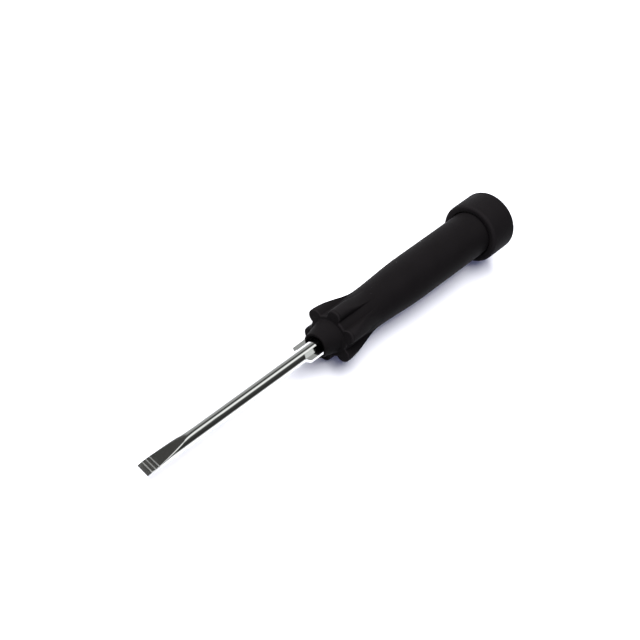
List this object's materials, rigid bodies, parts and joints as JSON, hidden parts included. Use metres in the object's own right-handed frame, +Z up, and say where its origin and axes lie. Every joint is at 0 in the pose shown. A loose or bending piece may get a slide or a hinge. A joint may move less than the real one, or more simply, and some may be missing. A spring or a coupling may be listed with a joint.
{
  "type": "watchmaker screwdriver",
  "caption": "Slotted precision screwdriver with a chromed blade, a black six-lobed moulded handle and a free-turning fingertip cap.",
  "frame": {"origin": "on the tool's axis at the blade's tip", "axes": "+X along the axis from the tip to the cap, +Z up with the tool lying on two lobes of its nose and on its cap"},
  "size_m": [0.1121, 0.0128, 0.0128],
  "materials": {
    "chromed_steel": "bright chrome plate over drawn steel rod",
    "black_moulding": "satin black moulded plastic",
    "cap_moulding": "satin black moulded plastic",
    "bare_steel": "turned steel",
    "bush_brass": "turned brass",
    "ball_steel": "polished bearing steel"
  },
  "bodies": {
    "handle": {"handle": "black_moulding", "blade": "chromed_steel", "swivel_pin": "bare_steel", "thrust_washer": "bare_steel", "head_washer": "bare_steel", "thrust_ball": "ball_steel"},
    "cap": {"swivel_cap": "cap_moulding", "cap_bush": "bush_brass", "end_disc": "cap_moulding"}
  },
  "joints": [
    {"name": "cap_swivel", "type": "hinge", "parent": "handle", "child": "cap", "pos_m": [0.1084, 0, 0], "axis": [1, 0, 0], "continuous": true}
  ]
}
